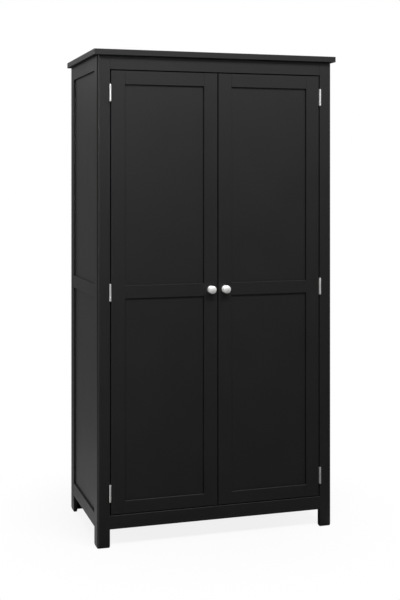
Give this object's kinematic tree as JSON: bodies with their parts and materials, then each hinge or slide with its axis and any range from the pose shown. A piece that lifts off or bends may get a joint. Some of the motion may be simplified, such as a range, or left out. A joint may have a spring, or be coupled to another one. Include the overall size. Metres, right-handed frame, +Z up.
{
  "type": "wardrobe with doors",
  "caption": "Free-standing wardrobe of framed panels in satin black, with hinged doors on bright butt hinges, round metal knobs, a hat shelf and a hanging rail inside.",
  "frame": {"origin": "on the floor, at the centre of the footprint of the bounding box, knobs included", "axes": "+Z up, -Y out of the front through the doors, +X to the right as seen from the front"},
  "size_m": [0.944, 0.546, 1.802],
  "materials": {
    "painted_frame": "solid softwood, satin black paint",
    "painted_panel": "thin board, satin black paint",
    "inner_board": "board, satin black paint",
    "polished_knob": "satin bright plate",
    "polished_hinge": "bright plated steel",
    "rail_chrome": "bright plated steel tube",
    "zinc_steel": "zinc plated steel",
    "catch_plastic": "moulded black plastic",
    "glide_plastic": "moulded black plastic"
  },
  "bodies": {
    "carcass": {"back_bottom_rail": "painted_frame", "back_lower_panel": "painted_panel", "back_mid_rail": "painted_frame", "back_top_rail": "painted_frame", "back_upper_panel": "painted_panel", "floor_board": "inner_board", "floor_cleats": "inner_board", "frame_hinge_leaves": "polished_hinge", "front_bottom_rail": "painted_frame", "front_top_rail": "painted_frame", "hanging_rail": "rail_chrome", "hat_shelf": "inner_board", "hinge_pins": "polished_hinge", "left_back_post": "painted_frame", "left_back_stile": "painted_frame", "left_front_post": "painted_frame", "left_front_stile": "painted_frame", "left_side_bottom_rail": "painted_frame", "left_side_lower_panel": "painted_panel", "left_side_mid_rail": "painted_frame", "left_side_top_rail": "painted_frame", "left_side_upper_panel": "painted_panel", "leg_glides": "glide_plastic", "magnetic_catch": "catch_plastic", "rail_sockets": "rail_chrome", "right_back_post": "painted_frame", "right_back_stile": "painted_frame", "right_front_post": "painted_frame", "right_front_stile": "painted_frame", "right_side_bottom_rail": "painted_frame", "right_side_lower_panel": "painted_panel", "right_side_mid_rail": "painted_frame", "right_side_top_rail": "painted_frame", "right_side_upper_panel": "painted_panel", "shelf_cleats": "inner_board", "top_board": "painted_frame"},
    "left_door": {"left_door_bottom_rail": "painted_frame", "left_door_hinge_leaves": "polished_hinge", "left_door_hinge_stile": "painted_frame", "left_door_lower_panel": "painted_panel", "left_door_meeting_stile": "painted_frame", "left_door_mid_rail": "painted_frame", "left_door_top_rail": "painted_frame", "left_door_upper_panel": "painted_panel", "left_knob": "polished_knob", "left_knob_screw": "zinc_steel", "left_strike_plate": "zinc_steel"},
    "right_door": {"right_door_bottom_rail": "painted_frame", "right_door_hinge_leaves": "polished_hinge", "right_door_hinge_stile": "painted_frame", "right_door_lower_panel": "painted_panel", "right_door_meeting_stile": "painted_frame", "right_door_mid_rail": "painted_frame", "right_door_top_rail": "painted_frame", "right_door_upper_panel": "painted_panel", "right_knob": "polished_knob", "right_knob_screw": "zinc_steel", "right_strike_plate": "zinc_steel"}
  },
  "joints": [
    {"name": "left_door_swing", "type": "hinge", "parent": "carcass", "child": "left_door", "pos_m": [-0.411, -0.2497, 0.9225], "axis": [0, 0, -1], "range_deg": [0, 180]},
    {"name": "right_door_swing", "type": "hinge", "parent": "carcass", "child": "right_door", "pos_m": [0.411, -0.2497, 0.9225], "axis": [0, 0, 1], "range_deg": [0, 180]}
  ]
}
